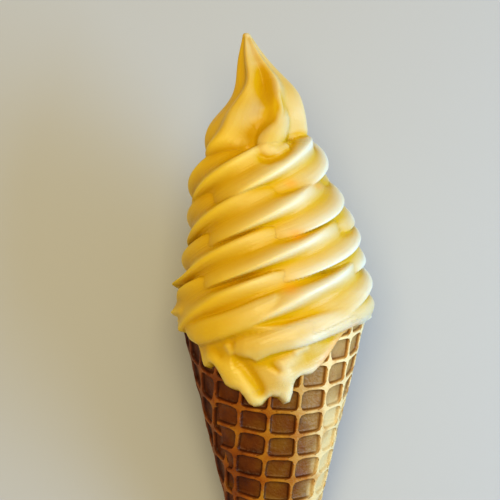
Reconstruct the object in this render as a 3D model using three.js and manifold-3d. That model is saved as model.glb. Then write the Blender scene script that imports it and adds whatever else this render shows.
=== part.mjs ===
// A soft serve swirl in a rolled waffle cone, lying on its back on a level surface.
//
// Units are millimetres and +Z is up. +Y runs along the length towards the tip of the swirl, +X runs
// across it, and the side that shows faces up. Each piece is first made upright in its own frame:
// there the cone's axis is y, its rim is at y = 0, x runs across and z comes out of the front.

import * as THREE from 'three';
import { mergeVertices } from 'three/addons/utils/BufferGeometryUtils.js';
import Module from 'manifold-3d';

const wasm = await Module();
wasm.setup();

// ---- driving dimensions ----

// Cone: a wafer sheet rolled up, with a square grid of ribs on it.
const RIM_RADIUS = 35;
const CONE_DEPTH = 144; // from the rim to where the sides would meet in a point
const NOSE_HEIGHT = 11; // the rolled point is closed and rounded this far above that
const NOSE_RADIUS = 2.6;
const WALL = 3.4;
const SHEET = 2.4; // outer, ribbed layer of the wall
const LINER_LAP = 0.6; // the plain inner layer reaches this far into it
const SHEET_START = 17; // from the cone's point, along the sheet
const LINER_END = 30; // the point is solid up to here
const LINER_SWELL = [22, 25]; // below these heights the point is as wide as the sheet
const RIB_PITCH = 9.8;
const RIB_WIDTH = 2.2;
const CELL_DEPTH = 1.3;
const CELL_DRAFT = 0.7; // how far each wall of a cell slopes in
const CELLS_START = 28; // from the cone's point, along the sheet
const CELLS_MARGIN = 10; // degrees past the edges of the flat sheet
const GRID_FACING = 15; // degrees right of the front where the ribs stand square
const SEAM_AT = -47; // degrees: the outer edge of the rolled sheet
const SEAM_STEP = 1.3; // the edge stands this far proud of the turn below
const SEAM_SLIT = 1.2; // degrees

// Swirl: a rope from a six-pointed nozzle, laid in a narrowing coil and twisted about once a turn.
const SWIRL_HEIGHT = 111.5;
const POINTS = 6;
const ROPE_RADIUS = 13;
const GROOVE_DEPTH = 0.31; // of the rope's radius
const CREST_ROUND = 0.21; // 0 is a knife edge
const SQUASH = 0.78; // the rope is pressed flatter than round
const TWIST_START = 30; // degrees
const FIRST_TURN = -0.6; // turns are counted from where the rope first passes the front
const LAST_TURN = 4.5;
const SLANT_START = 0.18; // each turn leans in over the one below, more so further up
const SLANT_GROWTH = 0.065; // a turn
const UPRIGHT_TURNS = [3.95, 4.2]; // over these, most of that slant is lost
const UPRIGHT_SHARE = 0.6;
const MELT = 0.8; // how far neighbouring turns melt together
const UNDERCUT = 2.5; // slope of a turn's face where it runs in under the next
const SAG = 1.31; // the lowest turn has stretched down this much under the others
const SAG_FROM = 12;

// The rope was laid by hand, so it rises, narrows and twists unevenly: turns, its twist in degrees,
// its middle above the rim, and its reach from the axis.
const LAID = [
  [-1.2, -368, -21.7, 39.1], [-0.2, -68, -7.0, 39.1], [0.2, 49, -1.6, 40.6], [0.8, 236, 7.7, 37.6],
  [1.2, 387, 14.3, 39.2], [1.8, 598, 23.8, 35.4], [2.2, 759, 30.5, 36.0], [2.8, 960, 39.3, 32.0],
  [3.2, 1117, 46.0, 32.5], [3.8, 1374, 54.1, 27.4], [4.2, 1526, 60.3, 28.4], [5.2, 1946, 76.0, 24.0],
];

// The upper turns lean over to the left, and the tip bends back and then further.
const DRIFT = 6.4;
const DRIFT_HEIGHTS = [28, 66];
const RECOVERY = 3.9;
const RECOVERY_HEIGHT = 88;
const RECOVERY_SPREAD = 10;
const BEND = 3.6;
const BEND_POWER = 1.6;

// Tip: the end of the rope, drawn up to a point.
const TIP_RADIUS = 20.5;
const TIP_HEIGHT = 66; // it starts to narrow here
const TIP_TAPER = 1.25; // of its radius, were it not rounded off at TIP_HEIGHT
const TIP_POWER = 1.04;
const TIP_ROUND = 0.2;
const TIP_END = 1.2;
const TIP_GROOVE = 0.2;
const TIP_CREST = -26; // degrees
const TIP_CURL = 25; // degrees that the crests turn back towards the foot
const CURL_FROM = 86;
const FOOT_RISE = 8.1; // above the middle of the turn that it grows from
const FOOT_DROP = 14.7; // down over the end of the rope at the back
const FOOT_DROP_SIDES = [120, 180]; // degrees
const FOOT_ROUND = 5;
const FOOT_SHARE = 0.2; // of the radius, rounded off there

// The foot of the tip has slumped at the left.
const SLUMP_SIDES = [-95, -60, -16, 4]; // degrees where it starts, is full, starts to end and ends
const SLUMP_DROP = 3.2;
const SLUMP_PROUD = 2.3;
const SLUMP_HEIGHT = 66.5;
const SLUMP_SPREAD = 5;

// Hook: a bead that the nozzle drew down the tip and wiped off to the right. Across, height above
// the rim, reach from the axis, and half its width.
const HOOK = [
  [3.5, 87, 12.6, 1.6], [4.1, 79, 17.2, 2.4], [0.6, 72.5, 20.4, 3.4], [-2.2, 68, 22.6, 3.9],
  [1.0, 65.6, 23.5, 3.2], [5.6, 67.6, 22.7, 2.2],
];
const HOOK_MELT = 1.6;

// Cream over the rim: it runs down in front in a broad V, and fills the cone.
const LAP_DEPTH = 33;
const LAP_EDGE = 1.5; // its least depth, all the way round
const LAP_MIDDLE = -4; // degrees
const LAP_SPREAD = 85; // degrees each way
const LAP_PROUD = 1.2;
const CLEARANCE = 0.3;
const FILLING_GAP = 0.5;
const FILLING_END = 34; // above the cone's point

// How finely the curved faces are divided.
const COLUMNS = 66;
const SWIRL_ROWS = 48;
const LAP_ROWS = 12;
const LAP_MARGIN = 2.5; // rows reach this far below the lap
const EVENING = [-0.6, -0.2, 0.2, 0.6]; // of the distance to the next point
const ROW_CLIMB = 15.2; // rows climb with the rope, this much a turn
const CLIMB_SIDE = 150; // degrees: past that they come down again at the back
const CLIMB_START = [-2, 18]; // heights over which they begin to climb
const CLIMB_STOP = [64, 96];
const CHORD_SAG = 0.42;
const SPLIT_PASSES = 5;
const NOSE_STEPS = 4;
const SHEET_STEPS = 10;
const SECTION_STEPS = 9; // to close in on the rope's grooved section
const SECTION_SHARE = 0.65; // of the way, each step

// Its weight flattens the back a little where it lies, the cream more than the wafer.
const CREAM_FLATTENING = 1.8;
const WAFER_FLATTENING = 0.15;
const TILT_RANGE = [5, 25]; // degrees
const TILT_STEPS = 30;

const CREAM_COLOUR = '#ecc65e';
const WAFFLE_COLOUR = '#9a6128';

// ---- small helpers ----

const DEGREE = Math.PI / 180;
const SLOPE = Math.atan(RIM_RADIUS / CONE_DEPTH);
const SLANT = CONE_DEPTH / Math.cos(SLOPE);

const clamp = (value, low, high) => Math.min(Math.max(value, low), high);

function smoothMin(a, b, blend) {
  const share = clamp(0.5 + 0.5 * (b - a) / blend, 0, 1);
  return b + (a - b) * share - blend * share * (1 - share);
}

const smoothMax = (a, b, blend) => -smoothMin(-a, -b, blend);

function smoothStep(low, high, value) {
  const t = clamp((value - low) / (high - low), 0, 1);
  return t * t * (3 - 2 * t);
}

// Value of a column of the rows at a place between them, which the first column gives.
function between(rows, place, column) {
  let i = 1;
  while (i < rows.length - 1 && rows[i][0] < place) i += 1;
  const share = (place - rows[i - 1][0]) / (rows[i][0] - rows[i - 1][0]);
  return rows[i - 1][column] + share * (rows[i][column] - rows[i - 1][column]);
}

function onSide(radius, angle, height) {
  return [radius * Math.sin(angle), height, radius * Math.cos(angle)];
}

function coneRadius(height) {
  return RIM_RADIUS + height * Math.tan(SLOPE);
}

// ---- solids in and out of the joining library ----

function toSolid(geometry) {
  const bare = new THREE.BufferGeometry();
  bare.setAttribute('position', geometry.getAttribute('position').clone());
  if (geometry.index) bare.setIndex(geometry.index.clone());
  const welded = mergeVertices(bare, 1e-4);
  return new wasm.Manifold(new wasm.Mesh({
    numProp: 3,
    vertProperties: new Float32Array(welded.getAttribute('position').array),
    triVerts: new Uint32Array(welded.index.array),
  }));
}

function toGeometry(solid) {
  const { vertProperties, triVerts } = solid.getMesh();
  return fromTriangles(Array.from(vertProperties), Array.from(triVerts));
}

function fromTriangles(positions, triangles) {
  const geometry = new THREE.BufferGeometry();
  geometry.setAttribute('position', new THREE.Float32BufferAttribute(positions, 3));
  geometry.setIndex(triangles);
  return geometry;
}

// ---- the swirl ----

// 0 on the crest of a nozzle point and 1 at the bottom of the groove beside it.
function groove(phase) {
  const wave = Math.hypot(Math.sin(phase / 2), CREST_ROUND);
  return (wave - CREST_ROUND) / (Math.hypot(1, CREST_ROUND) - CREST_ROUND);
}

const turnTwist = (turn) => (TWIST_START + between(LAID, turn, 1)) * DEGREE;
const turnMiddle = (turn) => between(LAID, turn, 2);

// Reach of the coil's outside from the axis. It begins inside the rim.
const turnReach = (turn) => between(LAID, turn, 3) * (1 - Math.max(0, -turn));

function lean(height) {
  const drift = -DRIFT * smoothStep(DRIFT_HEIGHTS[0], DRIFT_HEIGHTS[1], height);
  const recovery = RECOVERY * Math.exp(-(((height - RECOVERY_HEIGHT) / RECOVERY_SPREAD) ** 2));
  const bend = -BEND * clamp((height - CURL_FROM) / (SWIRL_HEIGHT - CURL_FROM), 0, 1) ** BEND_POWER;
  return drift + recovery + bend;
}

// Outer radius of one turn of the rope at a height, found by closing in on its grooved section.
function turnRadius(height, turn) {
  const up = height - turnMiddle(turn);
  const upright = UPRIGHT_SHARE * smoothStep(UPRIGHT_TURNS[0], UPRIGHT_TURNS[1], turn);
  const slant = (SLANT_START + SLANT_GROWTH * Math.max(turn, 0)) * (1 - upright);
  let side = ROPE_RADIUS;
  let out = Math.sqrt(Math.max(side ** 2 - up ** 2, 0));
  for (let i = 0; i < SECTION_STEPS; i += 1) {
    const phase = POINTS * (Math.atan2(up, out) - turnTwist(turn));
    side = ROPE_RADIUS * (1 - GROOVE_DEPTH * groove(phase));
    out += SECTION_SHARE * (Math.sqrt(Math.max(side ** 2 - up ** 2, 0)) - out);
  }
  const past = Math.max(Math.abs(up) - side, 0);
  return turnReach(turn) + SQUASH * (out - ROPE_RADIUS) - slant * up - UNDERCUT * past;
}

function slump(angle) {
  const [from, full, ending, end] = SLUMP_SIDES.map((side) => side * DEGREE);
  return smoothStep(from, full, angle) * (1 - smoothStep(ending, end, angle));
}

// The foot of the tip climbs with the coil and comes down over the rope's end at the back.
function tipFoot(angle) {
  const drop = FOOT_DROP * smoothStep(FOOT_DROP_SIDES[0], FOOT_DROP_SIDES[1], angle / DEGREE);
  return turnMiddle(4 + angle / (2 * Math.PI)) + FOOT_RISE - drop - SLUMP_DROP * slump(angle);
}

function tipRadius(angle, height) {
  const foot = tipFoot(angle);
  const rise = clamp((height - TIP_HEIGHT) / (SWIRL_HEIGHT - TIP_HEIGHT), 0, 1);
  const share = smoothMin(1, TIP_TAPER * (1 - rise) ** TIP_POWER, TIP_ROUND);
  const taper = TIP_RADIUS * share + TIP_END * rise ** 4;
  const curl = TIP_CURL * (Math.max(CURL_FROM - height, 0) / (CURL_FROM - TIP_HEIGHT)) ** 2;
  const phase = POINTS * (angle - (TIP_CREST - curl) * DEGREE);
  const under = clamp((foot + FOOT_ROUND - height) / FOOT_ROUND, 0, 1);
  const rounding = 1 - FOOT_SHARE * (1 - Math.sqrt(1 - under ** 2));
  const proud = SLUMP_PROUD * slump(angle) * Math.exp(-(((height - SLUMP_HEIGHT) / SLUMP_SPREAD) ** 2));
  const below = UNDERCUT * Math.max(foot - height, 0);
  return taper * (1 - TIP_GROOVE * groove(phase)) * rounding + proud - below;
}

// Outer radius of the hook's round section, and 0 away from it.
function hookRadius(angle, height) {
  let best = { away: Infinity };
  const places = HOOK.map(([across, up, reach]) => [TIP_RADIUS * Math.asin((across - lean(up)) / reach), up]);
  for (let i = 1; i < HOOK.length; i += 1) {
    const [from, to] = [HOOK[i - 1], HOOK[i]];
    const leg = [places[i][0] - places[i - 1][0], places[i][1] - places[i - 1][1]];
    const way = [TIP_RADIUS * angle - places[i - 1][0], height - places[i - 1][1]];
    const share = clamp((way[0] * leg[0] + way[1] * leg[1]) / (leg[0] ** 2 + leg[1] ** 2), 0, 1);
    const away = Math.hypot(way[0] - share * leg[0], way[1] - share * leg[1]);
    const [reach, half] = [2, 3].map((column) => from[column] + share * (to[column] - from[column]));
    if (away < best.away) best = { away, reach, half };
  }
  return best.away < best.half ? best.reach - best.half + Math.sqrt(best.half ** 2 - best.away ** 2) : 0;
}

function swirlRadius(angle, height) {
  const raised = height < SAG_FROM ? SAG_FROM - (SAG_FROM - height) / SAG : height;
  let radius = tipRadius(angle, raised);
  for (let lap = Math.floor(FIRST_TURN); lap <= LAST_TURN + 1; lap += 1) {
    const turn = lap + angle / (2 * Math.PI);
    const laid = turn > FIRST_TURN && turn < LAST_TURN;
    if (laid) radius = smoothMax(radius, turnRadius(raised, turn), MELT);
  }
  return smoothMax(radius, hookRadius(angle, height), HOOK_MELT);
}

// Mean reach round about a point, so that creases finer than the rows of points come out even.
function evenSwirlRadius(angle, height) {
  let total = 0;
  for (const across of EVENING) {
    for (const up of EVENING) {
      const nearby = angle + across * 2 * Math.PI / COLUMNS;
      total += swirlRadius(nearby, height + up * SWIRL_HEIGHT / SWIRL_ROWS);
    }
  }
  return total / EVENING.length ** 2;
}

// Height of the cream's lower edge on the cone.
function lapEdge(angle) {
  const away = Math.abs(angle - LAP_MIDDLE * DEGREE) / (LAP_SPREAD * DEGREE);
  return -LAP_EDGE - (LAP_DEPTH - LAP_EDGE) * Math.max(0, 1 - away);
}

function creamRadius(angle, height, growth) {
  const filling = coneRadius(height) - WALL / Math.cos(SLOPE) - FILLING_GAP;
  if (height < lapEdge(angle)) return filling + growth;
  const swirl = evenSwirlRadius(angle, height);
  return (height < 0 ? Math.max(swirl, coneRadius(height) + LAP_PROUD) : swirl) + growth;
}

// How far a row of points is above its own height there, so that rows follow the turns of the rope.
function rowClimb(angle, height) {
  const side = CLIMB_SIDE * DEGREE;
  const back = Math.max(Math.abs(angle) - side, 0) / (Math.PI - side);
  const turn = clamp(angle, -side, side) * (1 - back) / (2 * Math.PI);
  const begun = smoothStep(CLIMB_START[0], CLIMB_START[1], height);
  return ROW_CLIMB * turn * begun * (1 - smoothStep(CLIMB_STOP[0], CLIMB_STOP[1], height));
}

// Rings of points, closed by a middle point below and the tip above.
function creamGeometry(growth) {
  const floor = -CONE_DEPTH + FILLING_END;
  const lowest = -LAP_DEPTH - LAP_MARGIN;
  const heights = [floor];
  for (let i = 0; i <= LAP_ROWS; i += 1) heights.push(lowest * (1 - i / LAP_ROWS));
  for (let i = 1; i < SWIRL_ROWS; i += 1) heights.push(SWIRL_HEIGHT * i / SWIRL_ROWS);
  const positions = [0, floor, 0];
  for (const row of heights) {
    for (let i = 0; i < COLUMNS; i += 1) {
      const angle = -Math.PI + 2 * Math.PI * i / COLUMNS;
      const height = row + rowClimb(angle, row);
      const [x, y, z] = onSide(creamRadius(angle, height, growth), angle, height);
      positions.push(x + lean(height), y, z);
    }
  }
  positions.push(lean(SWIRL_HEIGHT), SWIRL_HEIGHT, 0);
  const top = positions.length / 3 - 1;
  const at = (row, column) => 1 + row * COLUMNS + (column + COLUMNS) % COLUMNS;
  const triangles = [];
  for (let i = 0; i < COLUMNS; i += 1) {
    triangles.push(0, at(0, i + 1), at(0, i));
    triangles.push(top, at(heights.length - 1, i), at(heights.length - 1, i + 1));
    for (let row = 0; row + 1 < heights.length; row += 1) {
      triangles.push(at(row, i), at(row, i + 1), at(row + 1, i + 1));
      triangles.push(at(row, i), at(row + 1, i + 1), at(row + 1, i));
    }
  }
  return fromTriangles(positions, triangles);
}

// ---- the rolled waffle cone ----

const FLAT_TURN = 360 * Math.sin(SLOPE); // degrees that one turn takes in the flat sheet
const FLAT_FIRST = (SEAM_AT - GRID_FACING) / 360 * FLAT_TURN;
const FLAT_LAST = FLAT_FIRST + FLAT_TURN * (1 - SEAM_SLIT / 360);

// The sheet before rolling, with the point of the cone at the origin.
function flatSheet() {
  const outline = new THREE.Shape();
  const from = (90 - FLAT_FIRST) * DEGREE;
  const to = (90 - FLAT_LAST) * DEGREE;
  outline.absarc(0, 0, SLANT, from, to, true);
  outline.absarc(0, 0, SHEET_START, to, from, false);
  outline.closePath();
  const settings = { depth: SHEET, bevelEnabled: false, curveSegments: SHEET_STEPS };
  return toSolid(new THREE.ExtrudeGeometry(outline, settings).translate(0, 0, -SHEET));
}

// One cell of the grid: a square pit that narrows towards its bottom.
function cellPit(x, y) {
  const mouth = (RIB_PITCH - RIB_WIDTH) / 2 + CELL_DRAFT;
  const bottom = mouth - 2 * CELL_DRAFT;
  const pit = new THREE.CylinderGeometry(mouth * Math.SQRT2, bottom * Math.SQRT2, 2 * CELL_DEPTH, 4, 1);
  return toSolid(pit.rotateY(Math.PI / 4).rotateX(Math.PI / 2).translate(x, y, 0));
}

function ribbedSheet() {
  const pits = [];
  const count = Math.ceil(SLANT / RIB_PITCH);
  for (let i = -count; i <= count; i += 1) {
    for (let j = -count; j <= count; j += 1) {
      const x = (i + 0.5) * RIB_PITCH;
      const y = (j + 0.5) * RIB_PITCH;
      const reach = Math.hypot(x, y);
      const angle = Math.atan2(x, y) / DEGREE;
      const inSheet = angle > FLAT_FIRST - CELLS_MARGIN && angle < FLAT_LAST + CELLS_MARGIN;
      const inReach = reach > CELLS_START && reach < SLANT + RIB_PITCH;
      if (inSheet && inReach) pits.push(cellPit(x, y));
    }
  }
  return flatSheet().subtract(wasm.Manifold.union(pits));
}

function rolledAngle(x, y) {
  return GRID_FACING * DEGREE + Math.atan2(x, y) / Math.sin(SLOPE);
}

// Rolls a point of the flat sheet, x and y, standing h above its outer face.
function roll(x, y, h) {
  const along = Math.hypot(x, y);
  const angle = rolledAngle(x, y);
  const turned = (angle / DEGREE - SEAM_AT) / 360;
  const lift = h > -SHEET + 0.01 ? SEAM_STEP * (1 - turned) : 0;
  const radius = along * Math.sin(SLOPE) + (h + lift) * Math.cos(SLOPE);
  const height = -CONE_DEPTH + along * Math.cos(SLOPE) - (h + lift) * Math.sin(SLOPE);
  return onSide(radius, angle, height);
}

function sagsTooFar(a, b) {
  const across = Math.abs(rolledAngle(a[0], a[1]) - rolledAngle(b[0], b[1]));
  const radius = Math.hypot((a[0] + b[0]) / 2, (a[1] + b[1]) / 2) * Math.sin(SLOPE);
  return radius * (1 - Math.cos(across / 2)) > CHORD_SAG;
}

// Splits the long edges, alike on both sides of each, so that the rolled faces follow the curve.
function splitLongEdges(points, triangles) {
  let faces = triangles;
  for (let pass = 0; pass < SPLIT_PASSES; pass += 1) {
    const middles = new Map();
    const middle = (i, j) => {
      if (!sagsTooFar(points[i], points[j])) return -1;
      const key = Math.min(i, j) + '/' + Math.max(i, j);
      if (!middles.has(key)) {
        middles.set(key, points.length);
        points.push(points[i].map((value, axis) => (value + points[j][axis]) / 2));
      }
      return middles.get(key);
    };
    const next = [];
    for (const face of faces) next.push(...splitFace(face, middle));
    if (next.length === faces.length) break;
    faces = next;
  }
  return faces;
}

function splitFace([a, b, c], middle) {
  const [ab, bc, ca] = [middle(a, b), middle(b, c), middle(c, a)];
  const cut = [ab, bc, ca].filter((point) => point >= 0).length;
  if (cut === 0) return [[a, b, c]];
  if (cut === 3) return [[a, ab, ca], [ab, b, bc], [ca, bc, c], [ab, bc, ca]];
  if (cut === 1) {
    if (ab >= 0) return [[a, ab, c], [ab, b, c]];
    if (bc >= 0) return [[b, bc, a], [bc, c, a]];
    return [[c, ca, b], [ca, a, b]];
  }
  if (ab < 0) return [[a, b, bc], [a, bc, ca], [ca, bc, c]];
  if (bc < 0) return [[b, c, ca], [b, ca, ab], [ab, ca, a]];
  return [[c, a, ab], [c, ab, bc], [bc, ab, b]];
}

function rolledSheet() {
  const { vertProperties, triVerts } = ribbedSheet().getMesh();
  const points = [];
  for (let i = 0; i < vertProperties.length; i += 3) points.push(Array.from(vertProperties.slice(i, i + 3)));
  const triangles = [];
  for (let i = 0; i < triVerts.length; i += 3) triangles.push(Array.from(triVerts.slice(i, i + 3)));
  const faces = splitLongEdges(points, triangles);
  const positions = points.flatMap(([x, y, h]) => roll(x, y, h));
  return toSolid(fromTriangles(positions, faces.flat()));
}

// Plain inner layer and the closed, rounded point.
function liner() {
  const inner = (height) => coneRadius(height) - WALL / Math.cos(SLOPE);
  const outer = (height) => coneRadius(height) - (SHEET - LINER_LAP) / Math.cos(SLOPE);
  const hollowEnd = -CONE_DEPTH + LINER_END;
  const [swellEnd, plainStart] = LINER_SWELL.map((above) => -CONE_DEPTH + above);
  const noseBottom = -CONE_DEPTH + NOSE_HEIGHT;
  const profile = [new THREE.Vector2(0, noseBottom)];
  for (let i = 1; i <= NOSE_STEPS; i += 1) {
    const turn = i / NOSE_STEPS * Math.PI / 2;
    const [out, up] = [Math.sin(turn), 1 - Math.cos(turn)];
    profile.push(new THREE.Vector2(NOSE_RADIUS * out, noseBottom + NOSE_RADIUS * up));
  }
  profile.push(new THREE.Vector2(coneRadius(swellEnd), swellEnd));
  profile.push(new THREE.Vector2(outer(plainStart), plainStart));
  profile.push(new THREE.Vector2(outer(0), 0));
  profile.push(new THREE.Vector2(inner(0), 0));
  profile.push(new THREE.Vector2(inner(hollowEnd), hollowEnd));
  profile.push(new THREE.Vector2(0, hollowEnd));
  return toSolid(new THREE.LatheGeometry(profile, COLUMNS, Math.PI));
}

// The rim follows the cream's lower edge. Loose crumbs left by the cut are dropped.
function coneGeometry() {
  const cream = toSolid(creamGeometry(CLEARANCE));
  const pieces = rolledSheet().add(liner()).subtract(cream).decompose();
  pieces.sort((a, b) => b.volume() - a.volume());
  return toGeometry(pieces[0]);
}

// ---- lying down ----

function lowestAt(points, tilt) {
  let lowest = Infinity;
  for (let i = 0; i < points.count; i += 1) {
    lowest = Math.min(lowest, points.getY(i) * Math.sin(tilt) + points.getZ(i) * Math.cos(tilt));
  }
  return lowest;
}

// The tilt at which the swirl and the point of the cone touch the surface together.
function restingTilt(swirl, cone) {
  let [low, high] = TILT_RANGE.map((degrees) => degrees * DEGREE);
  for (let i = 0; i < TILT_STEPS; i += 1) {
    const tilt = (low + high) / 2;
    const lead = lowestAt(cone, tilt) - lowestAt(swirl, tilt);
    if (lead > CREAM_FLATTENING - WAFER_FLATTENING) low = tilt;
    else high = tilt;
  }
  return low;
}

function layDown(geometry, tilt, drop) {
  const turned = geometry.clone().rotateX(tilt).translate(0, 0, drop);
  const points = turned.getAttribute('position');
  for (let i = 0; i < points.count; i += 1) points.setZ(i, Math.max(points.getZ(i), 0));
  turned.computeVertexNormals();
  return turned;
}

function named(name, geometry, colour, roughness) {
  const material = new THREE.MeshStandardMaterial({ color: colour, roughness, metalness: 0 });
  const mesh = new THREE.Mesh(geometry, material);
  mesh.name = name;
  return mesh;
}

const swirl = creamGeometry(0);
const cone = coneGeometry();
const tilt = restingTilt(swirl.getAttribute('position'), cone.getAttribute('position'));
const drop = -lowestAt(swirl.getAttribute('position'), tilt) - CREAM_FLATTENING;

const softServeCone = new THREE.Group();
softServeCone.add(named('soft_serve', layDown(swirl, tilt, drop), CREAM_COLOUR, 0.35));
softServeCone.add(named('waffle_cone', layDown(cone, tilt, drop), WAFFLE_COLOUR, 0.75));

const extent = new THREE.Box3().setFromObject(softServeCone);
softServeCone.position.set(-(extent.min.x + extent.max.x) / 2, -(extent.min.y + extent.max.y) / 2, 0);

export default softServeCone;
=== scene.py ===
"""Dresses a soft serve cone that lies on its back: a twisted swirl of cream in a rolled waffle cone."""

from math import atan, cos, pi, radians, sin, tan

import bmesh
import bpy
import numpy as np
from mathutils import Matrix, Vector
from mathutils.noise import noise


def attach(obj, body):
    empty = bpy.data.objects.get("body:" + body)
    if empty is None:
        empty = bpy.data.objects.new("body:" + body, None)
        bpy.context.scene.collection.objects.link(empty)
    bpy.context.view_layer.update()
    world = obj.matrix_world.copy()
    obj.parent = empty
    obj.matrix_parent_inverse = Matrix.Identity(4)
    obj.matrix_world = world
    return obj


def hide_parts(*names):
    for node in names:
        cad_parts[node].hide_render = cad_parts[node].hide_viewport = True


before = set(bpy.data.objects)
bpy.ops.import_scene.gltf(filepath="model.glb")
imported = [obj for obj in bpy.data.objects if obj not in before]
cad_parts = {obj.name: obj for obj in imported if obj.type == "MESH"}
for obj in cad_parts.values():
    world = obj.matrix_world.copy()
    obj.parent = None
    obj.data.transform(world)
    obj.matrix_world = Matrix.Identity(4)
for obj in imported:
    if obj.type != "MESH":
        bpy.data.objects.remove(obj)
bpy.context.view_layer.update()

bl_info = {
    "name": "Soft Serve Cone",
    "version": (1, 0, 0),
    "blender": (4, 5, 0),
    "location": "View3D > Sidebar > Soft Serve",
    "description": "Soft serve swirl in a rolled waffle cone, lying on its back",
    "category": "Add Mesh",
}

MM = 0.001

# The upright object's own frame: x to the right, y up the cone's axis from its rim, z out of the front.
# It lies down as the part does: the rim's middle is here, and the axis is tilted up this far.
RIM_MIDDLE = (-0.49 * MM, 10.45 * MM, 35.58 * MM)
LYING_TILT = radians(14.25)


# ---- settings


def length_setting(name, mm, description):
    return bpy.props.FloatProperty(name=name, description=description, default=mm * MM, unit="LENGTH")


def angle_setting(name, degrees, description):
    default = radians(degrees)
    return bpy.props.FloatProperty(name=name, description=description, default=default, unit="ROTATION")


def share_setting(name, share, description):
    return bpy.props.FloatProperty(name=name, description=description, default=share, subtype="FACTOR")


def colour_setting(name, code, description):
    return bpy.props.StringProperty(name=name, description=description, default=code)


class ConeSettings(bpy.types.PropertyGroup):
    """The rolled wafer."""

    rim_radius: length_setting("Rim radius", 35, "Outside radius at the rim")
    depth: length_setting("Depth", 144, "From the rim to where the sides would meet")
    sheet: length_setting("Sheet", 2.4, "Thickness of the ribbed sheet")
    rib_pitch: length_setting("Rib pitch", 8.9, "Distance between ribs down the cone")
    cell_width: share_setting("Cell width", 1.22, "Share of the pitch down the cone")
    rib_width: length_setting("Rib width", 1.1, "Width of a rib's top")
    cell_depth: length_setting("Cell depth", 1.6, "Depth of the cells between the ribs")
    cell_draft: length_setting("Cell draft", 0.6, "How far a cell's walls slope in")
    grid_facing: angle_setting("Grid facing", 19.5, "Where the ribs stand square")
    seam_at: angle_setting("Seam", -47, "Where the sheet's outer edge lies")
    seam_step: length_setting("Seam step", 1.3, "How far that edge stands proud")
    rib_colour: colour_setting("Rib colour", "#B07E22", "Toasted rib")
    # Painted light: ribs on the right are painted this paler colour, as the window's light falls there
    lit_rib_colour: colour_setting("Pale rib colour", "#F2DAA6", "Ribs on the paler side")
    cell_colour: colour_setting("Cell colour", "#784E0C", "Browned cell")


class CreamSettings(bpy.types.PropertyGroup):
    """The swirl, laid as a rope from a star-shaped nozzle."""

    height: length_setting("Height", 111.5, "Swirl's height above the rim")
    points: bpy.props.IntProperty(name="Points", description="Points of the nozzle", default=6, min=3)
    rope_radius: length_setting("Rope radius", 13, "Over the rope's crests")
    groove_depth: share_setting("Groove depth", 0.31, "Share of the rope's radius")
    squash: share_setting("Squash", 0.78, "How flat the rope is pressed")
    coil_pitch: length_setting("Coil pitch", 14.7, "Mean rise of one turn")
    twist_start: angle_setting("Twist start", 30, "Where the first crest lies on the rope")
    crest_colour: colour_setting("Crest colour", "#E9CA38", "Pale custard")
    # Painted light: the right side's paler colour stands for the window's light falling there
    painted_light_colour: colour_setting("Airy colour", "#E0DED0", "Crests with most air")
    # Painted shade: the folds' deeper, more saturated yellow stands for the shade and bounced light in them
    fold_shade_colour: colour_setting("Fold colour", "#D2A900", "Deep custard")
    # Painted glow: the warm orange stands for light shining through thin, clear cream
    melted_glow_colour: colour_setting("Melted colour", "#EBA52A", "Thin, clear spots")


class StageSettings(bpy.types.PropertyGroup):
    """Floor, light and camera."""

    view_height: length_setting("View height", 193.5, "Height of the view at the object")
    distance: length_setting("Distance", 450, "From the camera to the cone's axis")
    aim_across: length_setting("Aim across", -8.5, "Middle of the view, from the axis")
    aim_up: length_setting("Aim up", 27.5, "Middle of the view, above the rim")
    floor_colour: colour_setting("Floor colour", "#BCC2D2", "Pale floor")


# ---- helpers


def colour(code):
    """An sRGB hex code as a linear colour."""
    parts = [int(code[i : i + 2], 16) / 255 for i in (1, 3, 5)]
    linear = [p / 12.92 if p <= 0.04045 else ((p + 0.055) / 1.055) ** 2.4 for p in parts]
    return (*linear, 1.0)


def smooth_step(low, high, value):
    """0 up to low, 1 from high, and an S-curve between them."""
    t = np.clip((value - low) / (high - low), 0, 1)
    return t * t * (3 - 2 * t)


def band(low, full, ending, end, value):
    """1 from full to ending, and 0 up to low and from end."""
    return smooth_step(low, full, value) * (1 - smooth_step(ending, end, value))


def hump(value, middle, spread):
    """1 at the middle, dying away on both sides of it."""
    return np.exp(-(((value - middle) / spread) ** 2))


def smooth_max(a, b, blend):
    """The larger of two, with a fillet where they are within the blend of each other."""
    share = np.clip(0.5 + 0.5 * (a - b) / blend, 0, 1)
    return b + (a - b) * share + blend * share * (1 - share)


def read_off(table, place, column=1):
    """What a column of a table says at a place, which may be between two rows of the first column."""
    columns = np.array(table).T
    return np.interp(place, columns[0], columns[column])


def laid_down(x, y, z):
    """Points of the upright object, where they are when it lies down."""
    return np.stack(
        [
            RIM_MIDDLE[0] + x,
            RIM_MIDDLE[1] + y * cos(LYING_TILT) - z * sin(LYING_TILT),
            RIM_MIDDLE[2] + y * sin(LYING_TILT) + z * cos(LYING_TILT),
        ],
        axis=-1,
    )


def vertex_places(mesh):
    places = np.empty(len(mesh.vertices) * 3)
    mesh.vertices.foreach_get("co", places)
    return places.reshape(-1, 3)


def move_vertices(mesh, places):
    mesh.vertices.foreach_set("co", np.ascontiguousarray(places, dtype=np.float64).ravel())
    mesh.update()


def keep_value(mesh, name, values):
    """Stores a number for each vertex, for a material to read."""
    layer = mesh.attributes.new(name, "FLOAT", "POINT")
    layer.data.foreach_set("value", np.ascontiguousarray(values, dtype=np.float32))


def start_piece(name):
    """The primitive just added, with its size and place taken into its mesh."""
    piece = bpy.context.object
    piece.name = name
    piece.data.name = name
    bpy.ops.object.transform_apply(location=True, rotation=True, scale=True)
    return piece


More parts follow.
